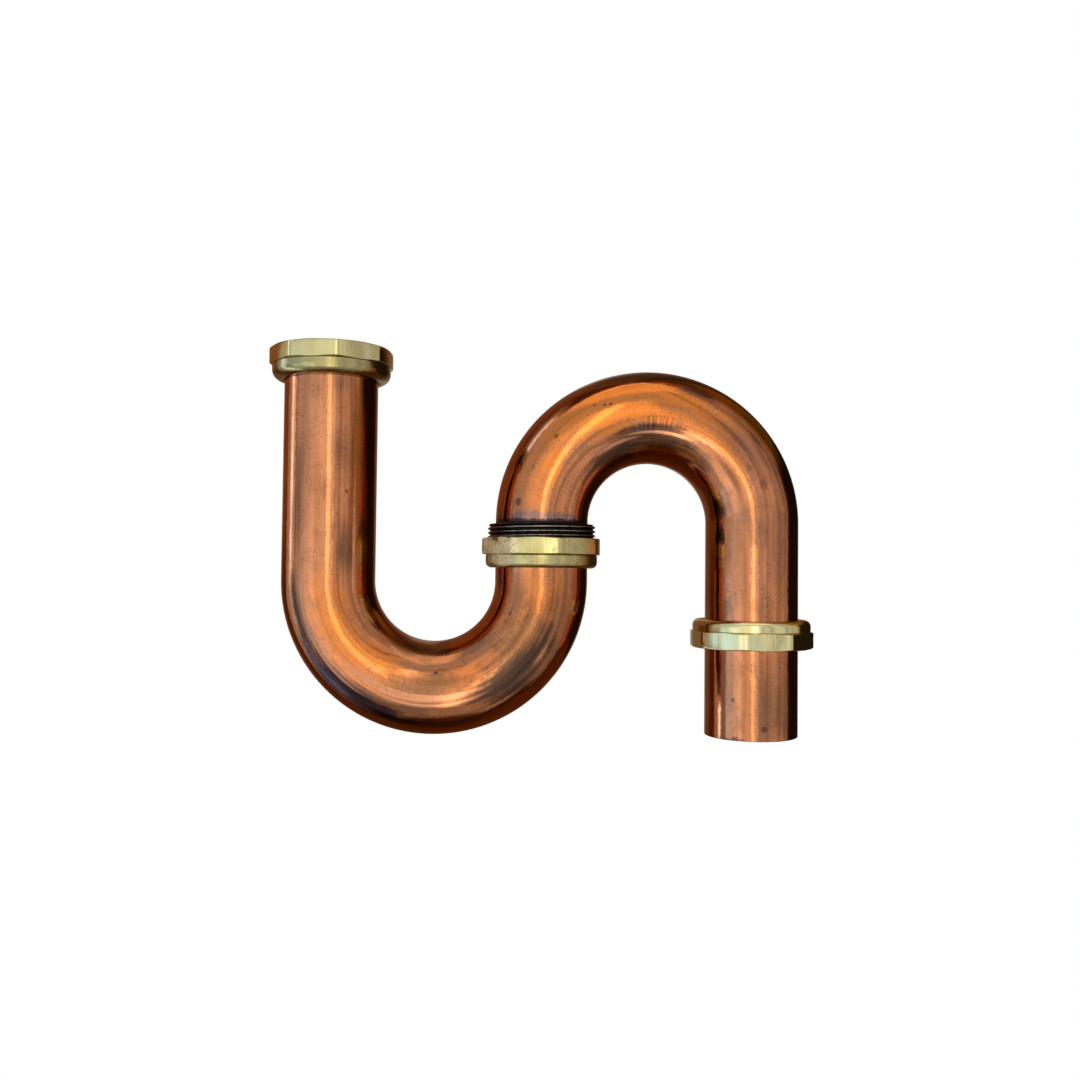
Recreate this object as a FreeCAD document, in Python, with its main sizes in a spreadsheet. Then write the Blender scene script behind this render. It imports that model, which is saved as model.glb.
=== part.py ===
import FreeCAD, Part
import math
import os

import Sketcher

# Copper s trap for a 50 mm waste, with three brass nuts.
#
# The inlet leg comes down into a U bend that holds the water seal. A union joins the U bend's riser
# to a second, inverted bend, whose long tail goes down into the drain.
#
# Frame: the origin is the middle of the inlet seat, the top face of the inlet washer. +Z points up
# out of the inlet, +X towards the outlet tail, and the tube's centre line lies in the XZ plane.
# Lengths are millimetres and angles degrees.

# Driving dimensions: alias, value, meaning.
SIZES = (
    ("tube_od", 50.8, "outside diameter of the copper tube"),
    ("tube_wall", 0.91, "wall of the copper tube"),
    ("bend_radius", 58.45, "centre line radius of both bends"),
    ("inlet_leg", 113.5, "top of the inlet lip to the start of the lower bend"),
    ("riser_leg", 11.0, "end of the lower bend to the top of the riser lip"),
    ("crown_rise", 0.75, "top of the braze to the start of the upper bend"),
    ("outlet_leg", 116.6, "end of the upper bend to the cut end of the tail"),
    ("tail_free", 48.2, "tail that shows below the outlet nut"),
    ("tail_deburr", 0.3, "chamfer round the cut end of the tail"),
    ("lip_reach", 2.6, "how far a rolled lip stands out from the tube"),
    ("lip_bend", 1.2, "radius under a rolled lip"),
    ("washer_inset", 0.4, "how far a washer reaches in over the tube's wall"),
    ("washer_thick", 3.0, "thickness of the rubber washers"),
    ("ferrule_wall", 4.407, "wall of the ferrule, out to the crests of its pipe thread"),
    ("ferrule_length", 17.5, "length of the threaded ferrule"),
    ("thread_gap", 0.15, "radial clearance of a nut on the thread"),
    ("thread_depth", 10.0, "threaded depth of a nut"),
    ("thread_lead", 1.0, "lead-in chamfer of the thread, inside and out"),
    ("braze_gap", 0.05, "radial gap that the braze fills under the ferrule"),
    ("braze_fillet", 0.9, "braze fillet on top of the ferrule"),
    ("nut_wall", 1.543, "thinnest wall of a nut, between thread and flat"),
    ("nut_corner", 5.0, "rounding of the corners between the flats"),
    ("nut_band", 9.3, "height of the flats"),
    ("inlet_shoulder", 3.6, "thickness of the inlet nut's shoulder, which bears on the lip"),
    ("union_shoulder", 2.4, "thickness of the union nut's shoulder, which bears on the lip"),
    ("outlet_shoulder", 1.7, "thickness of the outlet nut's shoulder, which bears on the slip ring"),
    ("nut_relief", 8.0, "slope of the turned relief under the corners"),
    ("nut_chamfer", 20.0, "slope of the turned chamfer on the corners at the mouth"),
    ("nut_land", 0.15, "how far outside the middle of a flat that chamfer starts"),
    ("slip_collar_wall", 3.3, "wall of the collar of the two end nuts"),
    ("inlet_collar_round", 5.4, "rounding of the inlet nut's collar"),
    ("outlet_collar_round", 3.4, "rounding of the outlet nut's collar"),
    ("union_collar_wall", 1.9, "wall of the collar of the union nut"),
    ("union_collar_round", 3.2, "rounding of the union nut's collar"),
    ("hole_gap", 0.4, "radial clearance of a nut's shoulder on the tube"),
    ("pocket_gap", 0.9, "radial clearance round a lip inside its nut"),
    ("seat_gap", 0.1, "clearance between a nut's shoulder and what it presses on"),
    ("ring_height", 8.0, "height of the rubber slip ring"),
    ("ring_taper", 4.5, "height of the taper on the slip ring"),
    ("ring_tip", 1.2, "wall of the slip ring at its thin end"),
    ("ring_gap", 0.15, "radial clearance of the slip ring on the tail"),
    ("inlet_nut_turn", 14.0, "turn of the inlet nut's flats"),
    ("union_nut_turn", 15.0, "turn of the union nut's flats"),
    ("outlet_nut_turn", 19.0, "turn of the outlet nut's flats, seen from its open end"),
)

FLATS = 8
HALF_FLAT = 180.0 / FLATS
MATCH = 1e-4

doc = FreeCAD.newDocument("s_trap")
sheet = doc.addObject("Spreadsheet::Sheet", "Sizes")
for row, (alias, value, meaning) in enumerate(SIZES, start=1):
    sheet.set(f"A{row}", meaning)
    sheet.set(f"B{row}", str(value))
    sheet.setAlias(f"B{row}", alias)
doc.recompute()


def worth(expression):
    """Value of an expression on the sheet's cells, in millimetres or degrees."""
    result = sheet.evalExpression(expression.replace("Sizes.", ""))
    return float(getattr(result, "Value", result))


# Places and sizes worked out from the driving dimensions.
TUBE_R = "(Sizes.tube_od / 2)"
TUBE_BORE_R = f"({TUBE_R} - Sizes.tube_wall)"
LIP_R = f"({TUBE_R} + Sizes.lip_reach)"
WASHER_BORE_R = f"({TUBE_R} - Sizes.washer_inset)"
THREAD_R = f"({TUBE_R} + Sizes.ferrule_wall)"
NUT_THREAD_R = f"({THREAD_R} + Sizes.thread_gap)"
NUT_HOLE_R = f"({TUBE_R} + Sizes.hole_gap)"
NUT_FLAT_R = f"({NUT_THREAD_R} + Sizes.nut_wall)"
NUT_CORNER_R = f"({NUT_FLAT_R} / cos({HALF_FLAT} deg))"
POCKET_R = f"({LIP_R} + Sizes.pocket_gap)"
SLIP_COLLAR_R = f"({POCKET_R} + Sizes.slip_collar_wall)"
UNION_COLLAR_R = f"({POCKET_R} + Sizes.union_collar_wall)"
PITCH_OF_LEGS = "2 * Sizes.bend_radius"
CROWN_LEG = "(Sizes.ferrule_length + Sizes.braze_fillet + Sizes.crown_rise)"
POCKET_DEPTH = "(Sizes.seat_gap + Sizes.tube_wall + Sizes.washer_thick)"
ABOVE_SHOULDER = f"({POCKET_DEPTH} + Sizes.thread_depth)"
SEAT_BELOW_LIP = "(Sizes.tube_wall + Sizes.seat_gap)"
INLET_LIP_TOP = "(-Sizes.washer_thick)"
LOWER_BEND_LEVEL = f"({INLET_LIP_TOP} - Sizes.inlet_leg)"
RISER_LIP_TOP = f"({LOWER_BEND_LEVEL} + Sizes.riser_leg)"
CROWN_FOOT = f"({RISER_LIP_TOP} + Sizes.washer_thick)"
TAIL_END = f"({CROWN_FOOT} + {CROWN_LEG} - Sizes.outlet_leg)"
OUTLET_SHOULDER = f"({TAIL_END} + Sizes.tail_free + {ABOVE_SHOULDER})"
RING_FOOT = f"({OUTLET_SHOULDER} - Sizes.seat_gap - Sizes.ring_height)"


def new_body(name, x="0", z="0", upside_down=False):
    """Body with its own label, standing at x and z, which are expressions on the sheet."""
    body = doc.addObject("PartDesign::Body", name)
    body.Label = name
    if upside_down:
        body.Placement.Rotation = FreeCAD.Rotation(FreeCAD.Vector(1, 0, 0), 180)
    body.setExpression("Placement.Base.x", x)
    body.setExpression("Placement.Base.z", z)
    return body


def new_sketch(body, name, role, level="0"):
    """Sketch on one of the body's origin planes, moved along the plane's normal to a level."""
    sketch = body.newObject("Sketcher::SketchObject", name)
    planes = [plane for plane in body.Origin.OriginFeatures if plane.Role == role]
    sketch.AttachmentSupport = [(planes[0], "")]
    sketch.MapMode = "FlatFace"
    sketch.setExpression("AttachmentOffset.Base.z", level)
    return sketch


def bind(sketch, constraint, expression):
    """Add a dimension to a sketch and tie it to the sheet."""
    index = sketch.addConstraint(constraint)
    sketch.setExpression(f"Constraints[{index}]", expression)


def draw_ring(sketch, outer_r, inner_r, centre_x="0"):
    """Two circles about one centre on the sketch's own X axis."""
    centre = FreeCAD.Vector(worth(centre_x), 0, 0)
    up = FreeCAD.Vector(0, 0, 1)
    for radius in (outer_r, inner_r):
        circle = sketch.addGeometry(Part.Circle(centre, up, worth(radius)))
        bind(sketch, Sketcher.Constraint("Radius", circle, worth(radius)), radius)
        if centre_x == "0":
            sketch.addConstraint(Sketcher.Constraint("Coincident", circle, 3, -1, 1))
        else:
            sketch.addConstraint(Sketcher.Constraint("PointOnObject", circle, 3, -1))
            reach = Sketcher.Constraint("DistanceX", -1, 1, circle, 3, worth(centre_x))
            bind(sketch, reach, centre_x)


def draw_profile(sketch, points):
    """Closed outline whose corners are (radius, height) pairs of expressions, none below zero."""
    spots = [FreeCAD.Vector(worth(radius), worth(height), 0) for radius, height in points]
    lines = []
    for start, end in zip(spots, spots[1:] + spots[:1]):
        lines.append(sketch.addGeometry(Part.LineSegment(start, end)))
    for line, following in zip(lines, lines[1:] + lines[:1]):
        sketch.addConstraint(Sketcher.Constraint("Coincident", line, 2, following, 1))
    for line, spot, (radius, height) in zip(lines, spots, points):
        if radius == "0":
            sketch.addConstraint(Sketcher.Constraint("PointOnObject", line, 1, -2))
        else:
            bind(sketch, Sketcher.Constraint("DistanceX", -1, 1, line, 1, spot.x), radius)
        if height == "0":
            sketch.addConstraint(Sketcher.Constraint("PointOnObject", line, 1, -1))
        else:
            bind(sketch, Sketcher.Constraint("DistanceY", -1, 1, line, 1, spot.y), height)


def turn_profile(body, kind, name, points):
    """Revolution or Groove of a closed profile about the body's Z axis."""
    sketch = new_sketch(body, f"{name}_profile", "XZ_Plane")
    draw_profile(sketch, points)
    feature = body.newObject(f"PartDesign::{kind}", name)
    feature.Profile = sketch
    feature.ReferenceAxis = (sketch, ["V_Axis"])
    feature.Angle = 360
    doc.recompute()
    return feature


def pad_ring(body, name, level, thickness, outer_r, inner_r, centre_x="0"):
    """Flat ring of a given thickness standing on a level."""
    sketch = new_sketch(body, f"{name}_outline", "XY_Plane", level)
    draw_ring(sketch, outer_r, inner_r, centre_x)
    pad = body.newObject("PartDesign::Pad", name)
    pad.Profile = sketch
    pad.setExpression("Length", thickness)
    doc.recompute()
    return pad


def circles_at(feature, radius, spots):
    """Names of the feature's circular edges of a radius, at any of the (x, z) spots."""
    found = []
    for number, edge in enumerate(feature.Shape.Edges, start=1):
        if not isinstance(edge.Curve, Part.Circle):
            continue
        centre = edge.Curve.Center
        near = any(math.hypot(centre.x - x, centre.z - z) < MATCH for x, z in spots)
        if near and abs(edge.Curve.Radius - radius) < MATCH:
            found.append(f"Edge{number}")
    return found


def ease_edges(body, kind, name, base, edges, amount):
    """Fillet or Chamfer on named edges of the feature before it, by an expression."""
    feature = body.newObject(f"PartDesign::{kind}", name)
    feature.Base = (base, edges)
    feature.setExpression("Radius" if kind == "Fillet" else "Size", amount)
    doc.recompute()
    return feature


def draw_route(sketch, first_leg, second_leg, way):
    """Straight leg, half circle and straight leg; way is 1 for a bend at the foot, -1 at the head.

    The first leg starts the bend at the sketch's origin for a bend at the foot. For a bend at the
    head it starts at the origin itself.
    """
    radius = worth("Sizes.bend_radius")
    first = worth(first_leg)
    second = worth(second_leg)
    level = 0.0 if way > 0 else first
    entry = FreeCAD.Vector(0, level, 0)
    leave = FreeCAD.Vector(2 * radius, level, 0)
    top_in = FreeCAD.Vector(0, level + way * first, 0)
    top_out = FreeCAD.Vector(2 * radius, level + way * second, 0)
    middle = FreeCAD.Vector(radius, level - way * radius, 0)
    leg_in = sketch.addGeometry(Part.LineSegment(top_in, entry))
    bend = sketch.addGeometry(Part.Arc(entry, middle, leave))
    leg_out = sketch.addGeometry(Part.LineSegment(leave, top_out))
    bend_start, bend_end = (1, 2) if way > 0 else (2, 1)
    origin_end = 2 if way > 0 else 1
    sketch.addConstraint(Sketcher.Constraint("Coincident", leg_in, origin_end, -1, 1))
    sketch.addConstraint(Sketcher.Constraint("Vertical", leg_in))
    sketch.addConstraint(Sketcher.Constraint("Vertical", leg_out))
    sketch.addConstraint(Sketcher.Constraint("Tangent", leg_in, 2, bend, bend_start))
    sketch.addConstraint(Sketcher.Constraint("Tangent", bend, bend_end, leg_out, 1))
    bind(sketch, Sketcher.Constraint("Radius", bend, radius), "Sizes.bend_radius")
    bind(sketch, Sketcher.Constraint("Distance", leg_in, first), first_leg)
    bind(sketch, Sketcher.Constraint("Distance", leg_out, second), second_leg)


def bent_tube(body, first_leg, second_leg, way):
    """Tube swept along a leg, a half circle and a leg."""
    route = new_sketch(body, f"{body.Name}_route", "XZ_Plane")
    draw_route(route, first_leg, second_leg, way)
    section = new_sketch(body, f"{body.Name}_section", "XY_Plane", first_leg if way > 0 else "0")
    draw_ring(section, TUBE_R, TUBE_BORE_R)
    doc.recompute()
    tube = body.newObject("PartDesign::AdditivePipe", f"{body.Name}_tube")
    tube.Profile = section
    tube.Spine = (route, ["Edge1", "Edge2", "Edge3"])
    doc.recompute()
    return tube


def make_inlet_bend():
    """Lower U of tube with a lip rolled outwards at each end."""
    body = new_body("inlet_bend", z=LOWER_BEND_LEVEL)
    bent_tube(body, "Sizes.inlet_leg", "Sizes.riser_leg", 1)
    inside_lip = "(Sizes.tube_od - Sizes.tube_wall) / 2"
    ends = (("inlet_lip", "0", "Sizes.inlet_leg"), ("riser_lip", PITCH_OF_LEGS, "Sizes.riser_leg"))
    for name, x, top in ends:
        level = f"{top} - Sizes.tube_wall"
        lip = pad_ring(body, name, level, "Sizes.tube_wall", LIP_R, inside_lip, x)
    under = [(worth(x), worth(f"{top} - Sizes.tube_wall")) for _, x, top in ends]
    edges = circles_at(lip, worth(TUBE_R), under)
    eased = ease_edges(body, "Fillet", "under_lips", lip, edges, "Sizes.lip_bend")
    over = [(worth(x), worth(top)) for _, x, top in ends]
    edges = circles_at(eased, worth(TUBE_BORE_R), over)
    ease_edges(body, "Fillet", "over_lips", eased, edges, "Sizes.lip_bend + Sizes.tube_wall")
    return body


def make_outlet_bend():
    """Upper, inverted U of tube with the long outlet tail."""
    body = new_body("outlet_bend", x=PITCH_OF_LEGS, z=CROWN_FOOT)
    tube = bent_tube(body, CROWN_LEG, "Sizes.outlet_leg", -1)
    tail = [(worth(PITCH_OF_LEGS), worth(f"{CROWN_LEG} - Sizes.outlet_leg"))]
    edges = circles_at(tube, worth(TUBE_R), tail)
    ease_edges(body, "Chamfer", "tail_edge", tube, edges, "Sizes.tail_deburr")
    return body


def make_washer(name, x, z):
    """Flat rubber washer that lies on a lip."""
    body = new_body(name, x, z)
    pad_ring(body, f"{name}_disc", "0", "Sizes.washer_thick", LIP_R, WASHER_BORE_R)
    return body


def make_ferrule():
    """Threaded ring round the foot of the crown tube, with a braze fillet on top."""
    body = new_body("union_ferrule", PITCH_OF_LEGS, CROWN_FOOT)
    bore_r = f"({TUBE_R} + Sizes.braze_gap)"
    root_r = f"{THREAD_R} - Sizes.thread_lead"
    length = "Sizes.ferrule_length"
    turn_profile(body, "Revolution", "ferrule_ring", (
        (bore_r, "0"),
        (root_r, "0"),
        (THREAD_R, "Sizes.thread_lead"),
        (THREAD_R, f"{length} - Sizes.thread_lead"),
        (root_r, length),
        (f"{bore_r} + Sizes.braze_fillet", length),
        (bore_r, f"{length} + Sizes.braze_fillet"),
    ))
    return body


def make_nut(name, x, z, turn, shoulder, collar_r, collar_round, upside_down=False):
    """Nut with eight flats above a round, domed collar.

    The body's own Z axis runs from the foot of the shoulder to the open, threaded mouth.
    """
    body = new_body(name, x, z, upside_down)
    height = f"({shoulder} + {ABOVE_SHOULDER})"
    collar_height = f"({height} - Sizes.nut_band)"
    collar = new_sketch(body, f"{name}_collar_outline", "XY_Plane")
    circle = collar.addGeometry(Part.Circle(FreeCAD.Vector(), FreeCAD.Vector(0, 0, 1), worth(collar_r)))
    collar.addConstraint(Sketcher.Constraint("Coincident", circle, 3, -1, 1))
    bind(collar, Sketcher.Constraint("Radius", circle, worth(collar_r)), collar_r)
    pad = body.newObject("PartDesign::Pad", f"{name}_collar")
    pad.Profile = collar
    pad.setExpression("Length", collar_height)

    flats = body.newObject("PartDesign::AdditivePrism", f"{name}_flats")
    grounds = [plane for plane in body.Origin.OriginFeatures if plane.Role == "XY_Plane"]
    flats.AttachmentSupport = [(grounds[0], "")]
    flats.MapMode = "FlatFace"
    flats.Polygon = FLATS
    flats.setExpression("Circumradius", NUT_CORNER_R)
    flats.setExpression("Height", "Sizes.nut_band")
    flats.setExpression("AttachmentOffset.Base.z", collar_height)
    flats.setExpression("AttachmentOffset.Rotation.Angle", turn)
    doc.recompute()

    corner_r = worth(NUT_CORNER_R)
    corners = []
    for number, edge in enumerate(flats.Shape.Edges, start=1):
        foot, head = edge.Vertexes[0].Point, edge.Vertexes[-1].Point
        upright = math.hypot(foot.x - head.x, foot.y - head.y) < MATCH
        if upright and abs(math.hypot(foot.x, foot.y) - corner_r) < MATCH:
            corners.append(f"Edge{number}")
    ease_edges(body, "Fillet", f"{name}_corners", flats, corners, "Sizes.nut_corner")

    relief_reach = f"({NUT_CORNER_R} - {collar_r} + Sizes.nut_corner)"
    relief_rise = f"{relief_reach} * tan(Sizes.nut_relief * 1 deg)"
    turn_profile(body, "Groove", f"{name}_relief", (
        (collar_r, collar_height),
        (f"{collar_r} + {relief_reach}", collar_height),
        (f"{collar_r} + {relief_reach}", f"{collar_height} + {relief_rise}"),
    ))

    land_r = f"({NUT_FLAT_R} + Sizes.nut_land)"
    chamfer_reach = f"({NUT_CORNER_R} - {land_r} + Sizes.nut_corner)"
    chamfer_drop = f"{chamfer_reach} * tan(Sizes.nut_chamfer * 1 deg)"
    turn_profile(body, "Groove", f"{name}_chamfer", (
        (land_r, height),
        (f"{land_r} + {chamfer_reach}", f"{height} - {chamfer_drop}"),
        (f"{land_r} + {chamfer_reach}", height),
    ))

    pocket_top = f"({shoulder} + {POCKET_DEPTH})"
    bore = turn_profile(body, "Groove", f"{name}_bore", (
        ("0", "0"),
        (NUT_HOLE_R, "0"),
        (NUT_HOLE_R, f"{shoulder} - Sizes.lip_bend"),
        (f"{NUT_HOLE_R} + Sizes.lip_bend", shoulder),
        (POCKET_R, shoulder),
        (POCKET_R, pocket_top),
        (NUT_THREAD_R, pocket_top),
        (NUT_THREAD_R, f"{height} - Sizes.thread_lead"),
        (f"{NUT_THREAD_R} + Sizes.thread_lead", height),
        ("0", height),
    ))
    edges = circles_at(bore, worth(collar_r), [(0.0, 0.0)])
    ease_edges(body, "Fillet", f"{name}_dome", bore, edges, collar_round)
    return body


def make_outlet_ring():
    """Tapered rubber ring that grips the tail inside the outlet nut, thin end down."""
    body = new_body("outlet_ring", f"2 * {PITCH_OF_LEGS}", RING_FOOT)
    bore_r = f"({TUBE_R} + Sizes.ring_gap)"
    outer_r = f"({POCKET_R} - Sizes.hole_gap)"
    turn_profile(body, "Revolution", "slip_ring", (
        (bore_r, "0"),
        (f"{bore_r} + Sizes.ring_tip", "0"),
        (outer_r, "Sizes.ring_taper"),
        (outer_r, "Sizes.ring_height"),
        (bore_r, "Sizes.ring_height"),
    ))
    return body


INLET_NUT = ("Sizes.inlet_nut_turn", "Sizes.inlet_shoulder", SLIP_COLLAR_R, "Sizes.inlet_collar_round")
UNION_NUT = ("Sizes.union_nut_turn", "Sizes.union_shoulder", UNION_COLLAR_R, "Sizes.union_collar_round")
OUTLET_NUT = ("Sizes.outlet_nut_turn", "Sizes.outlet_shoulder", SLIP_COLLAR_R, "Sizes.outlet_collar_round")

pieces = [
    make_inlet_bend(),
    make_washer("inlet_washer", "0", INLET_LIP_TOP),
    make_nut("inlet_nut", "0", f"{INLET_LIP_TOP} - {SEAT_BELOW_LIP} - Sizes.inlet_shoulder", *INLET_NUT),
    make_washer("union_washer", PITCH_OF_LEGS, RISER_LIP_TOP),
    make_nut("union_nut", PITCH_OF_LEGS, f"{RISER_LIP_TOP} - {SEAT_BELOW_LIP} - Sizes.union_shoulder",
             *UNION_NUT),
    make_ferrule(),
    make_outlet_bend(),
    make_outlet_ring(),
    make_nut("outlet_nut", f"2 * {PITCH_OF_LEGS}", f"{OUTLET_SHOULDER} + Sizes.outlet_shoulder", *OUTLET_NUT,
             upside_down=True),
]
doc.recompute()

# Nothing is written unless every feature is sound.
for item in doc.Objects:
    if "Invalid" in item.State or "Error" in item.State:
        raise RuntimeError(f"{item.Label} failed: {item.State}")
for piece in pieces:
    if piece.Shape.isNull() or not piece.Shape.isValid() or len(piece.Shape.Solids) != 1:
        raise RuntimeError(f"{piece.Label} is not one sound solid")

os.makedirs("parts", exist_ok=True)
for piece in pieces:
    piece.Shape.exportStep(f"parts/{piece.Label}.step")
    print(f"{piece.Label}: {piece.Shape.Volume / 1000:.3f} cm3")
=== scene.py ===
"""Dressed model of a copper s trap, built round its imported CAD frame.

Two bends of drawn copper tube meet in a brass union: a threaded ferrule brazed to the upper bend, and a
nut held under the rolled lip of the lower one. One end nut waits at the inlet and another rides on the
tail. Everything is in the CAD's own frame, in metres: +Z up out of the inlet, +X towards the tail, and
the tubes' centre lines in the XZ plane.
"""

from __future__ import annotations

import logging
import math
from dataclasses import dataclass, field
from enum import Enum
from typing import Any, Sequence

import bpy
import numpy as np
from mathutils import Matrix, Vector

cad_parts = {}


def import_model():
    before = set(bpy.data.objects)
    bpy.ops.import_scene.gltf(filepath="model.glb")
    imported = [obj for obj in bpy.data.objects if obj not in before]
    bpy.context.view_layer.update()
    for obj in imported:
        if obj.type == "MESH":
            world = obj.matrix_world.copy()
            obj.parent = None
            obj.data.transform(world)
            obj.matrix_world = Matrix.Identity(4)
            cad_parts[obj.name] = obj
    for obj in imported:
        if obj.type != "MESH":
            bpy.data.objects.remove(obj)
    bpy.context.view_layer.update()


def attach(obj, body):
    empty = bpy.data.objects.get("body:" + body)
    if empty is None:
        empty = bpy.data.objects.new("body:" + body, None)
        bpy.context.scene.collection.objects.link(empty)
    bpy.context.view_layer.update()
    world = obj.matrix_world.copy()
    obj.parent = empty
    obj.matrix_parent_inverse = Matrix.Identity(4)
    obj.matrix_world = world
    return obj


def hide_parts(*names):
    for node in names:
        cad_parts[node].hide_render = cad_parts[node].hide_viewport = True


LOG = logging.getLogger("s_trap")
MM = 0.001
TURN = 2.0 * math.pi
ARC_STEPS = 7
CREASE = math.radians(28.0)
NUT_CREASE = math.radians(40.0)
THREAD_CREASE = math.radians(60.0)
UNROLLED = "unrolled"
CREST = "crest"
# layer that marks where a nut gets its painted shade
SHADED_PARTS = "dulled"
FADE = "fade"
LIGHT = "light"

Array = np.ndarray
Colour = tuple[float, float, float]


# Shader nodes


@dataclass(frozen=True)
class Texture:
    """A noise: bumps to the metre along x, y and z, octaves, and the share of the finer ones."""

    stretch: tuple[float, float, float]
    detail: float = 3.0
    roughness: float = 0.55


class Socket:
    """An output socket that takes part in Python arithmetic."""

    def __init__(self, sheet: NodeSheet, link: bpy.types.NodeSocket) -> None:
        """Keep the socket and the node sheet that it belongs to."""
        self.sheet = sheet
        self.link = link

    def _math(self, operation: str, *terms: Any) -> Socket:
        """Add one Math node on the given terms."""
        node = self.sheet.add("ShaderNodeMath", {"operation": operation}, dict(enumerate(terms)))
        return Socket(self.sheet, node.outputs[0])

    def __add__(self, other: Any) -> Socket:
        """Sum."""
        return self._math("ADD", self, other)

    __radd__ = __add__

    def __sub__(self, other: Any) -> Socket:
        """Difference."""
        return self._math("SUBTRACT", self, other)

    def __rsub__(self, other: Any) -> Socket:
        """Difference with this socket on the right."""
        return self._math("SUBTRACT", other, self)

    def __mul__(self, other: Any) -> Socket:
        """Product."""
        return self._math("MULTIPLY", self, other)

    __rmul__ = __mul__

    def most(self, other: Any) -> Socket:
        """Larger of two values."""
        return self._math("MAXIMUM", self, other)

    def rise(self, low: float, high: float) -> Socket:
        """Smooth step from 0 at low to 1 at high; high may be the smaller of the two.

        Args:
            low: value that gives 0.
            high: value that gives 1.

        Returns:
            The eased value.
        """
        settings = {"interpolation_type": "SMOOTHSTEP"}
        ends = (1.0, 0.0) if low > high else (0.0, 1.0)
        values = {"Value": self, "From Min": min(low, high), "From Max": max(low, high),
                  "To Min": ends[0], "To Max": ends[1]}
        node = self.sheet.add("ShaderNodeMapRange", settings, values)
        return Socket(self.sheet, node.outputs[0])


class NodeSheet:
    """The node tree of one material or of the world, with short ways to add to it."""

    def __init__(self, tree: bpy.types.NodeTree) -> None:
        """Take over a node tree and empty it."""
        self.tree = tree
        tree.nodes.clear()

    def add(self, kind: str, settings: dict[str, Any] | None = None,
            values: dict[Any, Any] | None = None) -> bpy.types.Node:
        """Add a node.

        Args:
            kind: Blender's name of the node type.
            settings: properties of the node, set before its sockets.
            values: socket names or numbers, with a number, a colour or a Socket for each.

        Returns:
            The new node.
        """
        node = self.tree.nodes.new(kind)
        for name, setting in (settings or {}).items():
            setattr(node, name, setting)
        for name, value in (values or {}).items():
            if isinstance(value, Socket):
                self.tree.links.new(value.link, node.inputs[name])
            else:
                node.inputs[name].default_value = value
        return node

    def out(self, node: bpy.types.Node, name: Any = 0) -> Socket:
        """Output of a node as a Socket."""
        return Socket(self, node.outputs[name])

    def vector(self, operation: str, *terms: Any) -> Socket:
        """Vector Math node on the given terms."""
        values: dict[Any, Any] = dict(enumerate(terms))
        if operation == "SCALE":
            values = {0: terms[0], "Scale": terms[1]}
        node = self.add("ShaderNodeVectorMath", {"operation": operation}, values)
        return self.out(node, "Value" if operation == "LENGTH" else "Vector")

    def noise(self, place: Socket, texture: Texture) -> Socket:
        """Noise in 0 to 1 at a place in metres."""
        values = {"Vector": self.vector("MULTIPLY", place, texture.stretch), "Scale": 1.0,
                  "Detail": texture.detail, "Roughness": texture.roughness}
        return self.out(self.add("ShaderNodeTexNoise", {}, values))

    def blend(self, factor: Any, first: Any, second: Any) -> Socket:
        """First colour, with the factor's share of the second over it."""
        values = {0: factor, 6: rgba(first), 7: rgba(second)}
        return self.out(self.add("ShaderNodeMix", {"data_type": "RGBA", "clamp_factor": True}, values), 2)

    def attribute(self, name: str, output: str = "Vector") -> Socket:
        """A point attribute of the mesh."""
        return self.out(self.add("ShaderNodeAttribute", {"attribute_name": name}), output)

    def bump(self, height: Socket, reach: float) -> Socket:
        """Bump node; reach is the height in metres that the value 1 stands for."""
        values = {"Height": height, "Strength": 1.0, "Distance": reach}
        return self.out(self.add("ShaderNodeBump", {}, values), 0)

    def surface(self, shader: Socket) -> None:
        """Send a shader to the output."""
        self.add("ShaderNodeOutputMaterial", {}, {"Surface": shader})

    def principled(self, values: dict[str, Any]) -> None:
        """Send a Principled shader with these inputs to the output."""
        self.surface(self.out(self.add("ShaderNodeBsdfPrincipled", {}, values)))

    def faded(self, shader: bpy.types.Node) -> None:
        """Send a shader to the output, clear where the mesh's fade attribute is 0."""
        clear = self.add("ShaderNodeBsdfTransparent")
        values = {0: self.attribute(FADE, "Fac"), 1: self.out(clear), 2: self.out(shader)}
        self.surface(self.out(self.add("ShaderNodeMixShader", {}, values)))


def rgba(value: Any) -> Any:
    """A colour with its alpha; a Socket passes unchanged."""
    return value if isinstance(value, Socket) else (*value, 1.0)


def new_material(name: str) -> tuple[bpy.types.Material, NodeSheet]:
    """An empty node material and its sheet."""
    material = bpy.data.materials.new(name)
    material.use_nodes = True
    return material, NodeSheet(material.node_tree)


# Meshes


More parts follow.
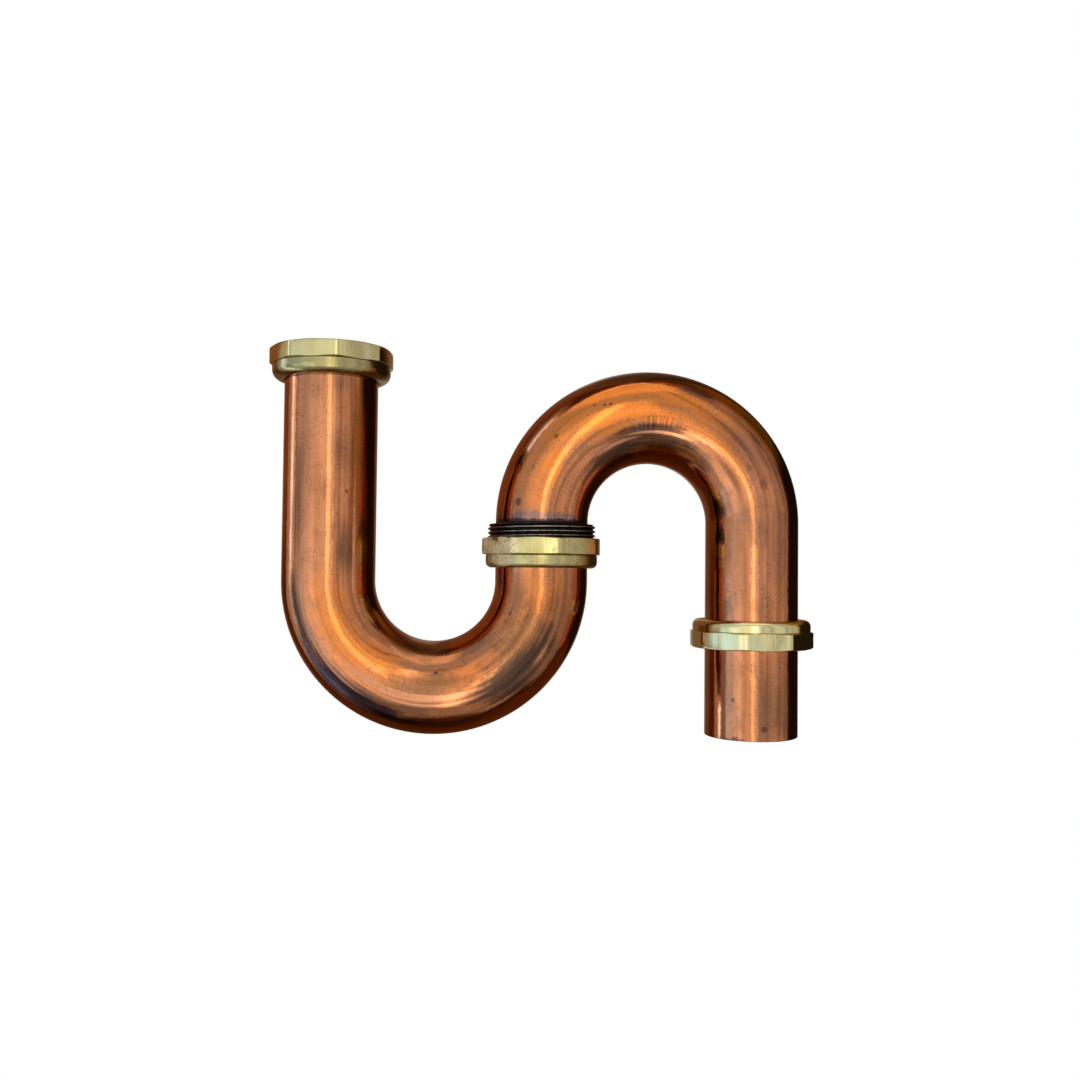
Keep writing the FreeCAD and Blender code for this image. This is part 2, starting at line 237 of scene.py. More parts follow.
@dataclass
class Surface:
    """A grid of points, a function of two parameters, that becomes one mesh.

    Attributes:
        points: rows by columns by three, in metres.
        wraps: whether the rows and the columns run round to their start.
        layers: attributes by name, each rows by columns, with three values a point or one.
    """

    points: Array
    wraps: tuple[bool, bool] = (True, True)
    layers: dict[str, Array] = field(default_factory=dict)

    def quads(self) -> Array:
        """Corner numbers of the grid's faces, turned so that a closed surface faces outwards."""
        rows, columns = self.points.shape[:2]
        down = np.arange(rows if self.wraps[0] else rows - 1)[:, None]
        across = np.arange(columns if self.wraps[1] else columns - 1)[None, :]
        next_down = (down + 1) % rows
        next_across = (across + 1) % columns
        corners = [down * columns + across, down * columns + next_across,
                   next_down * columns + next_across, next_down * columns + across]
        faces = np.stack(corners, axis=-1).reshape(-1, 4)
        a, b, c, d = np.moveaxis(self.points.reshape(-1, 3)[faces], 1, 0)
        volume = np.sum(a * np.cross(b, c)) + np.sum(a * np.cross(c, d))
        return faces[:, ::-1] if volume < 0 else faces

    def build(self, name: str, crease: float = CREASE) -> bpy.types.Object:
        """Make the object.

        Args:
            name: name of the object and its mesh.
            crease: angle between faces, in radians, past which an edge is sharp.

        Returns:
            The object, linked to the scene.
        """
        faces = self.quads().astype(np.int32)
        mesh = bpy.data.meshes.new(name)
        mesh.vertices.add(self.points.size // 3)
        mesh.vertices.foreach_set("co", self.points.astype(np.float32).ravel())
        mesh.loops.add(faces.size)
        mesh.loops.foreach_set("vertex_index", faces.ravel())
        mesh.polygons.add(len(faces))
        mesh.polygons.foreach_set("loop_start", np.arange(0, faces.size, 4, dtype=np.int32))
        for label, values in self.layers.items():
            kind, slot = ("FLOAT_VECTOR", "vector") if values.ndim == 3 else ("FLOAT", "value")
            layer = mesh.attributes.new(label, kind, "POINT")
            layer.data.foreach_set(slot, values.astype(np.float32).ravel())
        mesh.update(calc_edges=True)
        mesh.shade_smooth()
        mesh.set_sharp_from_angle(angle=crease)
        made = bpy.data.objects.new(name, mesh)
        bpy.context.scene.collection.objects.link(made)
        return made


def arc(centre: Sequence[float], radius: float, start_deg: float, end_deg: float,
        steps: int = ARC_STEPS) -> Array:
    """Points of an arc: the centre plus the radius times (cos, sin) of evenly spaced angles."""
    angle = np.radians(np.linspace(start_deg, end_deg, steps))
    return np.asarray(centre) + radius * np.stack([np.cos(angle), np.sin(angle)], axis=-1)


def even_angles(count: int) -> Array:
    """Angles of points spread evenly round an axis."""
    return np.arange(count) * TURN / count


def turned(radius: Array, angle: Array, height: Array, centre: Sequence[float]) -> Array:
    """Points round a vertical axis: the radius times (cos, sin) of the angle, at the height.

    Args:
        radius: rows by columns, or rows by one.
        angle: one for each column.
        height: like the radius, from the centre's own.
        centre: a point of the axis.

    Returns:
        Points, rows by columns by three.
    """
    parts = (radius * np.cos(angle), radius * np.sin(angle), height + 0.0 * angle)
    return np.stack(parts, axis=-1) + np.asarray(centre)


# Finishes


class Tone(Enum):
    """What a mark on the copper looks like, as its linear colour; two of the tones are painted highlight and
    painted shade.
    """

    INDIGO = (0.020, 0.017, 0.032)
    SMOKE = (0.075, 0.045, 0.034)
    UMBER = (0.170, 0.085, 0.046)
    MAUVE = (0.250, 0.150, 0.140)
    AMBER = (0.640, 0.200, 0.042)
    SALMON = (0.560, 0.260, 0.165)
    # painted shade: a dark red-brown for the tubes' darkest sides
    PAINTED_DARK_SIDE = (0.310, 0.088, 0.014)
    # painted highlight: a tone brighter than clean copper, for thin bright streaks on the bends
    PAINTED_HIGHLIGHT = (0.640, 0.285, 0.160)


STREAKED = (Tone.INDIGO, Tone.SMOKE, Tone.PAINTED_DARK_SIDE, Tone.PAINTED_HIGHLIGHT)
DULLING = (Tone.INDIGO, Tone.SMOKE, Tone.UMBER, Tone.PAINTED_DARK_SIDE)

# Noises on the copper, the brass, the black thread and the rubber
DRAW_LINES = Texture((950.0, 950.0, 9.0), 3.0, 0.7)
BUFFING = Texture((170.0, 170.0, 1300.0), 3.0, 0.7)
SMUDGES = Texture((105.0, 105.0, 42.0), 4.0, 0.6)
STREAKS = Texture((330.0, 330.0, 9.0), 4.0, 0.62)
COPPER_CLOUDS = Texture((62.0, 62.0, 40.0), 5.0, 0.64)
SWIRLS = Texture((150.0, 150.0, 95.0), 4.0, 0.66)
COPPER_GRAIN = Texture((900.0, 900.0, 620.0))
HAIRS = Texture((45.0, 45.0, 1000.0), 2.0)
BRUSHING = Texture((1300.0, 1300.0, 60.0))
BRASS_CLOUDS = Texture((130.0, 130.0, 150.0), 4.0, 0.6)
PITTING = Texture((900.0, 900.0, 900.0), 2.0)
POLISHING = Texture((105.0, 105.0, 8.0), 1.0)
SOOT = Texture((420.0, 420.0, 420.0), 4.0, 0.6)
BLOOM = Texture((160.0, 160.0, 160.0), 4.0)
RUBBER_GRAIN = Texture((2200.0, 2200.0, 2200.0), 2.0)


@dataclass(frozen=True)
class Mark:
    """A stain, spot or bright patch on a tube, or a streak of painted highlight or painted shade.

    Attributes:
        tone: colour of the mark.
        along: millimetres along the centre line.
        around: degrees round the tube from its front, towards the outside of the lower bend and
            the inside of the upper one.
        length: half the mark's reach along the tube, in millimetres.
        width: half its reach round the tube, in millimetres.
        strength: cover at the middle, up to 1.
        core: share of the reach that has full cover.
        hairs: whether the mark is broken up into fine strokes across the tube.
    """

    tone: Tone
    along: float
    around: float
    length: float
    width: float
    strength: float
    core: float = 0.0
    hairs: bool = False


@dataclass(frozen=True)
class CopperFinish:
    """Polished copper tube with draw lines, mottled handling marks, heat stains, painted highlights and
    painted shade.

    Attributes:
        name: name of the material.
        marks: stains and patches of this tube.
        tube_r: outside radius of the tube, in metres.
        clean: linear colour of bare copper.
        worn: linear colour of the dulled copper between the draw lines.
        film: linear colour of the thin straw-coloured film that the torch left.
        soiled: linear colour of smudges left by handling.
        film_share: most that the film covers.
        worn_share: most that the dulled copper covers.
        soiled_share: most that a smudge covers.
        speck_share: most that a fine speck of soot covers.
        gloss: roughness of the cleanest copper.
        relief: height of the unevenness that bends the reflections, in metres.
        broad: half width in millimetres from which a mark's edge is fully ragged.
    """

    name: str
    marks: tuple[Mark, ...]
    tube_r: float
    clean: Colour = (0.560, 0.226, 0.112)
    worn: Colour = (0.330, 0.150, 0.086)
    film: Colour = (0.600, 0.215, 0.060)
    soiled: Colour = (0.200, 0.105, 0.072)
    film_share: float = 0.45
    worn_share: float = 0.80
    soiled_share: float = 0.55
    speck_share: float = 0.70
    gloss: float = 0.025
    relief: float = 0.24 * MM
    broad: float = 4.0

    def material(self) -> bpy.types.Material:
        """Build the material on the tube's own straightened coordinates."""
        material, sheet = new_material(self.name)
        place = sheet.attribute(UNROLLED)
        lines = sheet.noise(place, DRAW_LINES)
        buffed = sheet.noise(place, BUFFING)
        smudge = sheet.noise(place, SMUDGES)
        streak = sheet.noise(place, STREAKS)
        cloud = sheet.noise(place, COPPER_CLOUDS)
        swirl = sheet.noise(place, SWIRLS)
        grain = sheet.noise(place, COPPER_GRAIN)
        hairs = sheet.noise(place, HAIRS).rise(0.47, 0.60)
        dull = (streak * 0.5 + cloud * 0.7 + swirl * 0.3 + lines * 0.15).rise(0.68, 1.02)
        colour = sheet.blend(cloud.rise(0.36, 0.60) * self.film_share, self.clean, self.film)
        colour = sheet.blend(dull * self.worn_share, colour, self.worn)
        colour = sheet.blend(smudge.rise(0.52, 0.70) * self.soiled_share, colour, self.soiled)
        cloudy = (cloud - 0.5) * 1.3 + (swirl - 0.5) * 1.3 + (smudge - 0.5) * 0.9
        drawn_out = (cloud - 0.5) * 0.6 + (swirl - 0.5) * 0.8
        drawn_out = drawn_out + (streak - 0.5) * 1.5 + (lines - 0.5) * 0.5
        fray = {tone: drawn_out if tone in STREAKED else cloudy for tone in Tone}
        colour, cover = self._lay_stains_and_painted_light(sheet, place, colour, fray, hairs)
        drawn = (lines.rise(0.3, 0.7) - 0.5) * cloud.rise(0.38, 0.62)
        rubbed = (buffed.rise(0.3, 0.7) - 0.5) * swirl.rise(0.40, 0.66)
        shade = 0.68 + streak.rise(0.30, 0.70) * 0.36 + grain * 0.28 + drawn * 0.30 + rubbed * 0.30
        colour = sheet.vector("SCALE", colour, shade)
        speck = grain.rise(0.60, 0.70) * swirl.rise(0.42, 0.60) * self.speck_share
        colour = sheet.blend(speck, colour, Tone.SMOKE.value)
        rough = self.gloss + dull * 0.08 + cover * 0.12 + smudge * 0.06
        height = lines * 0.02 + streak * 0.13 + cloud * 0.75 + swirl * 0.20
        sheet.principled({"Base Color": colour, "Metallic": 1.0, "Roughness": rough,
                          "Normal": sheet.bump(height, self.relief)})
        return material

    def _lay_stains_and_painted_light(self, sheet: NodeSheet, place: Socket, colour: Socket,
               fray: dict[Tone, Socket], hairs: Socket) -> tuple[Socket, Socket]:
        """Lay the marks over a colour, each an ellipse with a ragged edge; some are painted highlights and
        painted shade.

        Args:
            sheet: sheet of the material.
            place: straightened coordinates.
            colour: colour under the marks.
            fray: noise that frays the edges of each tone, more on a broad mark than on a spot.
            hairs: fine strokes across the tube.

        Returns:
            The marked colour, and how much of it is dark stain and painted shade.
        """
        cover: Any = 0.0
        for mark in self.marks:
            angle = math.radians(mark.around)
            middle = (self.tube_r * math.cos(angle), self.tube_r * math.sin(angle), mark.along * MM)
            scale = (1.0 / (mark.width * MM), 1.0 / (mark.width * MM), 1.0 / (mark.length * MM))
            shift = tuple(-spot * size for spot, size in zip(middle, scale))
            spread = sheet.vector("MULTIPLY_ADD", place, scale, shift)
            away = sheet.vector("LENGTH", spread) + fray[mark.tone] * min(1.0, mark.width / self.broad)
            share = away.rise(1.0, mark.core) * mark.strength
            if mark.hairs:
                share = share * hairs
            colour = sheet.blend(share, colour, mark.tone.value)
            if mark.tone in DULLING:
                cover = share.most(cover)
        return colour, cover


@dataclass(frozen=True)
class CastSkinAndSheen:
    """Rough skin of the casting, left on one flat of a nut, and painted paler there as a painted sheen.

    Attributes:
        axis: x and y of the nut's axis.
        azimuth: way that the flat faces, in degrees from the front towards +X.
        reach: distances from the axis, along that way, at which the skin starts and is whole.
        pale: linear colour of the skin, paler than the brass: a painted sheen.
        roughness: roughness of the skin.
    """

    axis: tuple[float, float]
    azimuth: float
    reach: tuple[float, float] = (28.0 * MM, 30.5 * MM)
    pale: Colour = (0.80, 0.70, 0.45)
    roughness: float = 0.50

    def share(self, sheet: NodeSheet, place: Socket) -> Socket:
        """Where the skin lies, from 0 to 1."""
        way = (math.sin(math.radians(self.azimuth)), -math.cos(math.radians(self.azimuth)), 0.0)
        offset = way[0] * self.axis[0] + way[1] * self.axis[1]
        node = sheet.add("ShaderNodeVectorMath", {"operation": "DOT_PRODUCT"}, {0: place, 1: way})
        return (sheet.out(node, "Value") - offset).rise(*self.reach)


@dataclass(frozen=True)
class BrassFinish:
    """Pale turned brass, brushed up and down on the flats, with pits where it is rough.

    Attributes:
        name: name of the material.
        clean: linear colour of bare brass.
        worn: linear colour of the dulled brass.
        roughness: roughness of the bare metal.
        mottle: how much the surface is pitted and clouded.
        wave: how much the polishing has left the flats uneven.
        nut_shade_strength: how strongly the collar and the inside are painted darker, as painted shade.
        skin: rough skin on one of the flats, painted paler as a sheen, if any.
        nut_shade: linear colour of the painted shade on the collar and the inside.
        grime: linear colour of what fills the pits.
        relief: height of the unevenness that bends the reflections, in metres.
    """

    name: str
    clean: Colour
    worn: Colour
    roughness: float
    mottle: float
    wave: float
    nut_shade_strength: float
    skin: CastSkinAndSheen | None = None
    nut_shade: Colour = (0.22, 0.185, 0.085)
    grime: Colour = (0.09, 0.075, 0.035)
    relief: float = 0.10 * MM

    def material(self) -> bpy.types.Material:
        """Build the material on the nut's own place in the frame."""
        material, sheet = new_material(self.name)
        place = sheet.out(sheet.add("ShaderNodeTexCoord"), "Object")
        brushed = sheet.noise(place, BRUSHING)
        cloud = sheet.noise(place, BRASS_CLOUDS)
        pit = sheet.noise(place, PITTING)
        uneven = sheet.noise(place, POLISHING)
        dull = (cloud * 0.7 + brushed * 0.5 - 0.1).rise(0.35, 0.80)
        colour = sheet.blend(dull * (0.45 + 0.5 * self.mottle), self.clean, self.worn)
        # painted shade: the collar under the flats and the inside of the nut are painted darker, and made
        # rougher
        nut_shade = sheet.attribute(SHADED_PARTS, "Fac") * self.nut_shade_strength * (0.55 + cloud * 0.9)
        colour = sheet.blend(nut_shade, colour, self.nut_shade)
        rough = self.roughness + brushed * 0.08 + dull * (0.03 + 0.14 * self.mottle) + nut_shade * 0.12
        pits = pit.rise(0.62, 0.74) * cloud.rise(0.42, 0.62) * self.mottle
        if self.skin is not None:
            skin = self.skin.share(sheet, place) * cloud.rise(0.30, 0.55)
            # painted sheen: the rough flat is painted paler than the brass
            colour = sheet.blend(skin * 0.8, colour, self.skin.pale)
            rough = rough + skin * (self.skin.roughness - self.roughness)
            pits = pits.most(skin * pit.rise(0.56, 0.68))
        colour = sheet.blend(pits * 0.7, colour, self.grime)
        height = brushed * 0.35 + cloud * (0.4 + self.mottle) + uneven * self.wave - pits * 0.9
        sheet.principled({"Base Color": colour, "Metallic": 1.0, "Roughness": rough + pits * 0.2,
                          "Normal": sheet.bump(height, self.relief)})
        return material


@dataclass(frozen=True)
class OxideFinish:
    """Brass blackened by the torch, with a painted highlight of paler colour on the crests of its thread."""

    name: str
    black: Colour = (0.016, 0.014, 0.012)
    # rubbed: colour of the painted highlight on the crests
    rubbed: Colour = (0.330, 0.322, 0.315)
    roughness: float = 0.38
    relief: float = 0.08 * MM

    def material(self) -> bpy.types.Material:
        """Build the material; the crest attribute says where the crests get their painted highlight."""
        material, sheet = new_material(self.name)
        place = sheet.out(sheet.add("ShaderNodeTexCoord"), "Object")
        soot = sheet.noise(place, SOOT)
        crest = sheet.attribute(CREST, "Fac")
        # painted highlight: the crests, broken up by soot, are painted paler
        bright = crest.rise(0.63, 0.91) * soot.rise(0.20, 0.60)
        colour = sheet.blend(bright, self.black, self.rubbed)
        sheet.principled({"Base Color": colour, "Metallic": 1.0, "Roughness": self.roughness - bright * 0.12,
                          "Normal": sheet.bump(soot, self.relief)})
        return material


@dataclass(frozen=True)
class RubberFinish:
    """Matt black rubber with a faint grey bloom."""

    name: str
    black: Colour = (0.012, 0.012, 0.012)
    bloom: Colour = (0.045, 0.044, 0.042)
    roughness: float = 0.62
    relief: float = 0.05 * MM

    def material(self) -> bpy.types.Material:
        """Build the material."""
        material, sheet = new_material(self.name)
        place = sheet.out(sheet.add("ShaderNodeTexCoord"), "Object")
        cloud = sheet.noise(place, BLOOM)
        grain = sheet.noise(place, RUBBER_GRAIN)
        colour = sheet.blend(cloud.rise(0.35, 0.75) * 0.7, self.black, self.bloom)
        sheet.principled({"Base Color": colour, "Roughness": self.roughness + cloud * 0.2,
                          "Normal": sheet.bump(grain, self.relief)})
        return material


# Marks on the tubes: stains, with painted highlights and painted shade among them


def marks(tone: Tone, *spots: tuple[float, ...]) -> list[Mark]:
    """Marks of one tone, each with the rest of its fields in their order."""
    return [Mark(tone, *spot) for spot in spots]


LOWER_MARKS = (
    *marks(Tone.SALMON, (20.0, 9.0, 22.0, 5.0, 0.35, 0.2)),
    *marks(Tone.AMBER,
           (150.0, -9.4, 52.0, 15.0, 0.80, 0.2), (225.0, -13.1, 46.0, 13.0, 0.65, 0.1),
           (174.0, -23.7, 22.0, 9.0, 0.75, 0.1), (284.0, -4.0, 36.0, 24.0, 0.60, 0.2)),
    # painted shade along the inner side of the inlet leg, towards the riser
    *marks(Tone.PAINTED_DARK_SIDE, (52.0, -52.0, 76.0, 8.0, 0.80, 0.6)),
    *marks(Tone.UMBER,
           (188.0, -53.9, 40.0, 9.0, 0.85, 0.2), (203.0, -5.0, 32.0, 12.0, 0.85, 0.2),
           (262.0, 2.0, 38.0, 17.0, 0.80, 0.3), (288.0, -24.0, 22.0, 8.0, 0.50, 0.2),
           (282.0, 30.0, 26.0, 12.0, 0.50, 0.2), (240.0, -39.8, 26.0, 6.0, 0.60, 0.1)),
    *marks(Tone.SMOKE,
           (57.0, 30.0, 34.0, 4.5, 0.45, 0.1), (82.0, 35.0, 26.0, 4.0, 0.45, 0.1),
           (44.0, -19.0, 20.0, 7.0, 0.50, 0.1), (97.0, -27.0, 18.0, 7.0, 0.60, 0.1),
           (130.0, 36.0, 30.0, 5.5, 0.70, 0.3), (176.0, 26.2, 36.0, 6.0, 0.60, 0.2),
           (205.0, 45.9, 40.0, 7.0, 0.75, 0.3), (247.0, 15.5, 30.0, 11.0, 0.90, 0.4),
           (252.0, 35.7, 26.0, 6.0, 0.60, 0.2), (198.0, 10.0, 16.0, 1.2, 0.75, 0.2),
           (220.0, 9.2, 16.0, 1.0, 0.70, 0.2), (66.4, -29.5, 1.3, 1.0, 0.8, 0.3)),
    *marks(Tone.INDIGO,
           (172.0, 36.5, 38.0, 7.5, 0.92, 0.5), (208.6, -23.3, 1.7, 1.0, 0.9, 0.3),
           (274.7, -32.4, 3.2, 1.4, 0.6, 0.2)),
    # painted highlights: thin bright streaks along the lower bend
    *marks(Tone.PAINTED_HIGHLIGHT,
           (192.0, 7.5, 42.0, 2.6, 0.95, 0.5), (206.0, 16.5, 30.0, 1.0, 0.75, 0.3),
           (160.0, 27.0, 22.0, 1.0, 0.70, 0.3)),
)

UPPER_MARKS = (
    *marks(Tone.AMBER,
           (100.0, -18.0, 62.0, 20.0, 0.95, 0.4), (152.0, -4.0, 36.0, 17.0, 0.70, 0.2),
           (40.0, -14.9, 28.0, 14.0, 0.60, 0.1)),
    *marks(Tone.MAUVE, (164.0, -12.0, 24.0, 8.0, 0.45, 0.2), (20.5, -0.5, 4.2, 90.0, 0.85, 0.3)),
    # painted shade along the inside of the upper bend, under the crown
    *marks(Tone.PAINTED_DARK_SIDE, (94.0, 54.0, 60.0, 12.0, 0.85, 0.5)),
    *marks(Tone.UMBER,
           (60.0, -53.3, 26.0, 6.0, 0.60, 0.2), (158.0, -8.0, 28.0, 12.0, 0.50, 0.1),
           (183.7, -8.6, 3.2, 2.8, 0.6, 0.3), (172.3, -0.9, 3.4, 3.0, 0.6, 0.3),
           (215.0, -22.0, 30.0, 7.0, 0.50, 0.3), (222.0, 26.0, 40.0, 5.0, 0.45, 0.2),
           (302.0, -6.0, 28.0, 14.0, 0.55, 0.2), (300.0, -34.0, 34.0, 9.0, 0.50, 0.3)),
    *marks(Tone.SMOKE,
           (108.0, 19.9, 36.0, 3.2, 0.85, 0.3), (116.0, 30.7, 42.0, 6.0, 0.85, 0.3),
           (82.0, 46.0, 32.0, 12.0, 0.85, 0.4), (112.0, -54.2, 42.0, 8.0, 0.80, 0.3),
           (170.0, -62.0, 46.0, 19.0, 0.80, 0.3), (172.0, 22.6, 22.0, 2.6, 0.60, 0.2),
           (26.9, -33.6, 2.2, 2.4, 0.75, 0.4), (60.8, -23.3, 2.0, 1.4, 0.75, 0.4),
           (297.7, 35.0, 1.6, 1.6, 0.7, 0.3), (320.0, 36.0, 3.2, 9.0, 0.8, 0.3),
           (312.8, -3.0, 2.6, 2.8, 0.75, 0.4)),
    *marks(Tone.INDIGO,
           (113.0, 16.5, 22.0, 6.5, 0.60, 0.4, True), (131.0, -38.6, 15.0, 5.0, 0.85, 0.3),
           (18.2, -0.5, 2.2, 90.0, 0.90, 0.4), (83.3, -25.2, 1.0, 0.6, 0.9, 0.3),
           (87.5, -19.8, 1.2, 0.8, 0.9, 0.3), (90.3, -18.3, 1.2, 0.9, 0.9, 0.3)),
    # painted highlights: thin bright arcs on the inside of the crown
    *marks(Tone.PAINTED_HIGHLIGHT,
           (122.0, 24.5, 34.0, 1.2, 0.95, 0.4), (148.0, 17.5, 30.0, 1.0, 0.90, 0.3),
           (84.0, 29.5, 22.0, 1.4, 0.80, 0.3)),
)


# Pieces of the trap


def place_piece(made: bpy.types.Object, node: str, body: str,
                material: bpy.types.Material) -> None:
    """Give a piece its finish, and put it in the place of a CAD node.

    Args:
        made: the piece.
        node: CAD node that it stands for.
        body: CAD body that it moves with.
        material: finish.
    """
    made.data.materials.append(material)
    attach(made, body)
    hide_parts(node)
    LOG.info("%s: %d faces, on %s", made.name, len(made.data.polygons), body)


@dataclass
class TubeEnd:
    """How a tube ends: the walk from its outer wall to its bore, as (along, radius) pairs."""

    outer_r: float
    bore_r: float

    def walk(self) -> Array:
        """Profile from the outer wall to the bore, with the end itself at along = 0."""
        raise NotImplementedError


@dataclass
class CutEnd(TubeEnd):
    """A square cut with the burr taken off its outer edge."""

    deburr: float = 0.3 * MM
    rows: tuple[float, ...] = (0.0, 0.7, 1.0)

    def walk(self) -> Array:
        """Short chamfer, with points at these shares of it, then straight across the wall."""
        mid_r = 0.5 * (self.outer_r + self.bore_r)
        chamfer = [((1.0 - share) * self.deburr, self.outer_r - share * self.deburr) for share in self.rows]
        return np.array([*chamfer, (0.0, mid_r), (0.0, self.bore_r)])


@dataclass
class RolledLip(TubeEnd):
    """A lip rolled outwards under the washer: a quarter bend of the wall and a flat flange."""

    lip_r: float = 28.0 * MM
    bend_r: float = 1.2 * MM
    edge_r: float = 0.3 * MM

    def walk(self) -> Array:
        """Quarter arc under the lip, its flange, a rounded edge, and a quarter arc into the bore."""
        wall = self.outer_r - self.bore_r
        depth = wall + self.bend_r
        under = arc((depth, self.outer_r + self.bend_r), self.bend_r, 270.0, 180.0)
        rim_r = self.lip_r - self.edge_r
        low = arc((wall - self.edge_r, rim_r), self.edge_r, 0.0, 90.0)
        high = arc((self.edge_r, rim_r), self.edge_r, 90.0, 180.0)
        over = arc((depth, self.outer_r + self.bend_r), depth, 180.0, 270.0)
        return np.concatenate([under, low, high, over])


@dataclass
class BentTube:
    """A tube that runs a straight leg, a half circle and a second straight leg.

    Attributes:
        node: CAD node that the tube stands for.
        body: CAD body that it moves with.
        start: middle of the first end.
        lift: 1 where the first leg runs up, -1 where it runs down.
        first_leg: length of the first leg.
        second_leg: length of the second leg.
        first_end: how the tube starts.
        second_end: how it ends.
        finish: its copper.
        digits: decimals to which two rows of points have to differ.
    """

    node: str
    body: str
    start: tuple[float, float, float]
    lift: int
    first_leg: float
    second_leg: float
    first_end: TubeEnd
    second_end: TubeEnd
    finish: CopperFinish
    bend_radius: float = 58.45 * MM
    columns: int = 144
    leg_step: float = 5.0 * MM
    least_rows: int = 3
    bend_rows: int = 96
    digits: int = 7

    @property
    def length(self) -> float:
        """Length of the centre line."""
        return self.first_leg + math.pi * self.bend_radius + self.second_leg

    def carry(self, profile: Array) -> Surface:
        """Carry (along, radius) pairs along the centre line and round it.

        The centre line runs straight, turns half a circle, and runs straight again. At each place
        the section has one axis to the front, -Y, and one across the tangent in the XZ plane. A
        point is the centre, plus the radius times cos of the angle on the first axis and sin on
        the second.

        Args:
            profile: closed walk of (along, radius) pairs.

        Returns:
            The surface, with its straightened coordinates as an attribute.
        """
        along, radius = profile[:, 0], profile[:, 1]
        straight = np.minimum(along, self.first_leg)
        bent = np.clip((along - self.first_leg) / self.bend_radius, 0.0, math.pi)
        beyond = np.maximum(along - self.first_leg - math.pi * self.bend_radius, 0.0)
        centre_x = self.start[0] + self.bend_radius * (1.0 - np.cos(bent))
        rise = straight + self.bend_radius * np.sin(bent) - beyond
        centre_z = self.start[2] + self.lift * rise
        tangent_x, tangent_z = np.sin(bent), self.lift * np.cos(bent)
        angle = even_angles(self.columns)
        front = radius[:, None] * np.cos(angle)
        side = radius[:, None] * np.sin(angle)
        points = np.stack([centre_x[:, None] + side * tangent_z[:, None],
                           self.start[1] - front,
                           centre_z[:, None] - side * tangent_x[:, None]], axis=-1)
        unrolled = np.stack([front, side, along[:, None] + 0.0 * angle], axis=-1)
        return Surface(points, layers={UNROLLED: unrolled})

    def wall_stations(self, first: float, last: float) -> Array:
        """Places along a wall between two ends, closer together in the bend."""
        bend_end = self.first_leg + math.pi * self.bend_radius
        parts = [np.linspace(first, self.first_leg, self._leg_rows(self.first_leg - first)),
                 np.linspace(self.first_leg, bend_end, self.bend_rows),
                 np.linspace(bend_end, last, self._leg_rows(last - bend_end))]
        return np.unique(np.concatenate(parts).round(self.digits))[1:-1]

    def _leg_rows(self, length: float) -> int:
        """Rows of points on a straight stretch."""
        return max(self.least_rows, int(length / self.leg_step))

    def build(self) -> bpy.types.Object:
        """Build the tube: along the outer wall, round the second end, back up the bore."""
        first = self.first_end.walk()
        second = self.second_end.walk()
        second[:, 0] = self.length - second[:, 0]
        stations = self.wall_stations(first[0, 0], second[0, 0])
        bore = self.wall_stations(first[-1, 0], second[-1, 0])[::-1]
        outer_wall = np.stack([stations, np.full_like(stations, self.first_end.outer_r)], axis=-1)
        bore_wall = np.stack([bore, np.full_like(bore, self.first_end.bore_r)], axis=-1)
        profile = np.concatenate([outer_wall, second, bore_wall, first[::-1]])
        made = self.carry(profile).build(f"{self.node}_tube")
        place_piece(made, self.node, self.body, self.finish.material())
        return made


@dataclass
class PipeThread:
    """A right-hand pipe thread of rounded 55 degree form.

    Attributes:
        pitch: rise in one turn.
        depth: height from root to crest.
        rows_per_pitch: rows of points in one pitch.
    """

    pitch: float = 2.309 * MM
    depth: float = 1.4 * MM
    rows_per_pitch: int = 14

    def rows(self, low: float, high: float) -> Array:
        """Heights of the rows between two levels."""
        count = int(round(abs(high - low) / self.pitch * self.rows_per_pitch))
        return np.linspace(low, high, count)

    def swell(self, height: Array, angle: Array) -> Array:
        """Thread form, 1 on a crest: a cosine of the height less the helix's rise at that angle."""
        phase = height[:, None] / self.pitch - angle[None, :] / TURN
        return 0.5 + 0.5 * np.cos(TURN * phase)


